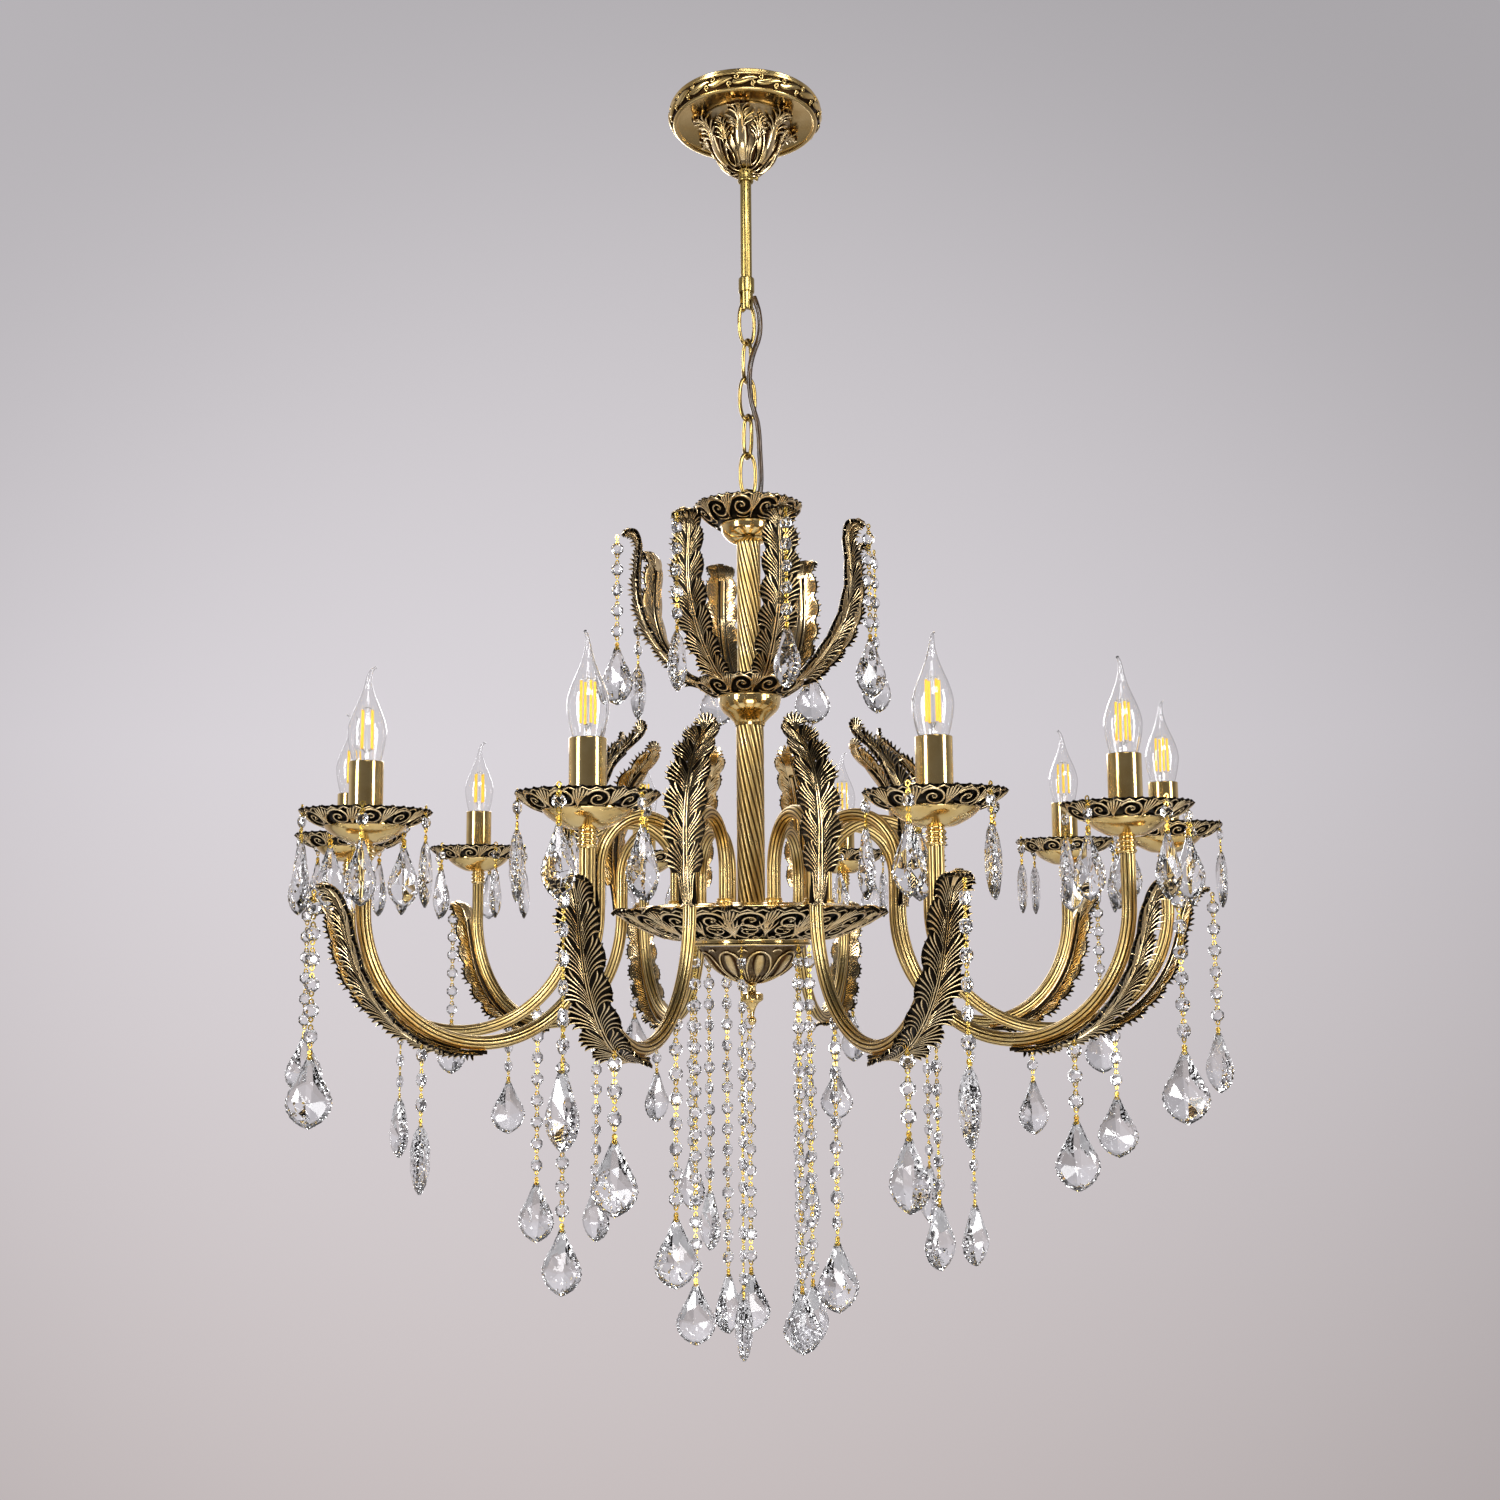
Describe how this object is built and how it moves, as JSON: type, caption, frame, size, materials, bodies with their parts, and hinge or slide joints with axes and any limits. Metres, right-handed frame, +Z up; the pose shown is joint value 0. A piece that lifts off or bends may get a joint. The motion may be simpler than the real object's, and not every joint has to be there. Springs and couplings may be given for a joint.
{
  "type": "chandelier",
  "caption": "Antique gold chandelier on a rod and short chain, with scrolled leaf arms, candle sleeves with clear flame bulbs, and hanging crystal strands.",
  "frame": {"origin": "middle of the ceiling bracket's flat top, where it meets the ceiling", "axes": "+Z up into the ceiling, -Y towards the viewer, +X to the viewer's right"},
  "size_m": [0.9895, 0.9566, 1.3592],
  "materials": {
    "polished_gold": "polished, lacquered",
    "antique_gold": "cast relief, black patina with rubbed gold highlights",
    "steel": "zinc plated",
    "bulb_glass": "clear",
    "crystal": "cut and polished",
    "cable_skin": "translucent brown"
  },
  "bodies": {
    "ceiling_mount": {"ceiling_bracket": "steel", "down_rod": "polished_gold", "chain_coupling": "polished_gold"},
    "canopy": {"ceiling_canopy": "polished_gold", "canopy_leaf_cup": "antique_gold", "rod_collar": "polished_gold"},
    "first_link": {"chain_link_1": "polished_gold"},
    "chain_middle": {"chain_link_2": "polished_gold", "chain_link_3": "polished_gold", "chain_link_4": "polished_gold"},
    "last_link": {"chain_link_5": "polished_gold"},
    "fixture": {"body_loop": "polished_gold", "supply_cable": "cable_skin", "center_tie_rod": "steel", "top_rosette": "antique_gold", "top_cup": "polished_gold", "upper_column": "polished_gold", "crown_ring": "antique_gold", "crown_leaves": "antique_gold", "crown_bowl": "polished_gold", "lower_column": "polished_gold", "bowl_cover": "antique_gold", "bowl_rim": "antique_gold", "bowl_ring": "polished_gold", "bowl_dome": "antique_gold", "bowl_crystal_strands": "crystal", "finial": "polished_gold", "arm_1": "polished_gold", "candle_holder_1": "polished_gold", "arm_2": "polished_gold", "candle_holder_2": "polished_gold", "arm_3": "polished_gold", "candle_holder_3": "polished_gold", "arm_4": "polished_gold", "candle_holder_4": "polished_gold", "arm_5": "polished_gold", "candle_holder_5": "polished_gold", "arm_6": "polished_gold", "candle_holder_6": "polished_gold", "arm_7": "polished_gold", "candle_holder_7": "polished_gold", "arm_8": "polished_gold", "candle_holder_8": "polished_gold", "arm_9": "polished_gold", "candle_holder_9": "polished_gold", "arm_10": "polished_gold", "candle_holder_10": "polished_gold"},
    "bulb_1_screwed": {"bulb_1": "bulb_glass"},
    "bulb_2_screwed": {"bulb_2": "bulb_glass"},
    "bulb_3_screwed": {"bulb_3": "bulb_glass"},
    "bulb_4_screwed": {"bulb_4": "bulb_glass"},
    "bulb_5_screwed": {"bulb_5": "bulb_glass"},
    "bulb_6_screwed": {"bulb_6": "bulb_glass"},
    "bulb_7_screwed": {"bulb_7": "bulb_glass"},
    "bulb_8_screwed": {"bulb_8": "bulb_glass"},
    "bulb_9_screwed": {"bulb_9": "bulb_glass"},
    "bulb_10_screwed": {"bulb_10": "bulb_glass"}
  },
  "joints": [
    {"name": "canopy_slide", "type": "slide", "parent": "ceiling_mount", "child": "canopy", "axis": [0, 0, -1], "range_m": [0, 0.1]},
    {"name": "first_link_pivot", "type": "hinge", "parent": "ceiling_mount", "child": "first_link", "pos_m": [0, 0, -0.237], "axis": [-0.454, 0.891, 0], "range_deg": [-10, 10], "deforming": ["supply_cable"]},
    {"name": "second_link_pivot", "type": "hinge", "parent": "first_link", "child": "chain_middle", "pos_m": [0, 0, -0.2807], "axis": [0.891, 0.454, 0], "range_deg": [-10, 10], "deforming": ["supply_cable"]},
    {"name": "last_link_pivot", "type": "hinge", "parent": "chain_middle", "child": "last_link", "pos_m": [0, 0, -0.4112], "axis": [-0.454, 0.891, 0], "range_deg": [-10, 10], "deforming": ["supply_cable"]},
    {"name": "body_pivot", "type": "hinge", "parent": "last_link", "child": "fixture", "pos_m": [0, 0, -0.4547], "axis": [0.891, 0.454, 0], "range_deg": [-10, 10], "deforming": ["supply_cable"]},
    {"name": "bulb_1_screw", "type": "hinge", "parent": "fixture", "child": "bulb_1_screwed", "pos_m": [-0.13243, -0.41954, -0.79], "axis": [0, 0, 1], "continuous": true},
    {"name": "bulb_2_screw", "type": "hinge", "parent": "fixture", "child": "bulb_2_screwed", "pos_m": [0.15069, -0.4132, -0.79], "axis": [0, 0, 1], "continuous": true},
    {"name": "bulb_3_screw", "type": "hinge", "parent": "fixture", "child": "bulb_3_screwed", "pos_m": [0.3373, -0.28239, -0.79], "axis": [0, 0, 1], "continuous": true},
    {"name": "bulb_4_screw", "type": "hinge", "parent": "fixture", "child": "bulb_4_screwed", "pos_m": [0.43948, -0.0208, -0.79], "axis": [0, 0, 1], "continuous": true},
    {"name": "bulb_5_screw", "type": "hinge", "parent": "fixture", "child": "bulb_5_screwed", "pos_m": [0.38102, 0.21941, -0.79], "axis": [0, 0, 1], "continuous": true},
    {"name": "bulb_6_screw", "type": "hinge", "parent": "fixture", "child": "bulb_6_screwed", "pos_m": [0.12338, 0.4222, -0.79], "axis": [0, 0, 1], "continuous": true},
    {"name": "bulb_7_screw", "type": "hinge", "parent": "fixture", "child": "bulb_7_screwed", "pos_m": [-0.14243, 0.41623, -0.79], "axis": [0, 0, 1], "continuous": true},
    {"name": "bulb_8_screw", "type": "hinge", "parent": "fixture", "child": "bulb_8_screwed", "pos_m": [-0.34014, 0.27903, -0.79], "axis": [0, 0, 1], "continuous": true},
    {"name": "bulb_9_screw", "type": "hinge", "parent": "fixture", "child": "bulb_9_screwed", "pos_m": [-0.43844, 0.03521, -0.79], "axis": [0, 0, 1], "continuous": true},
    {"name": "bulb_10_screw", "type": "hinge", "parent": "fixture", "child": "bulb_10_screwed", "pos_m": [-0.34992, -0.26657, -0.79], "axis": [0, 0, 1], "continuous": true}
  ]
}
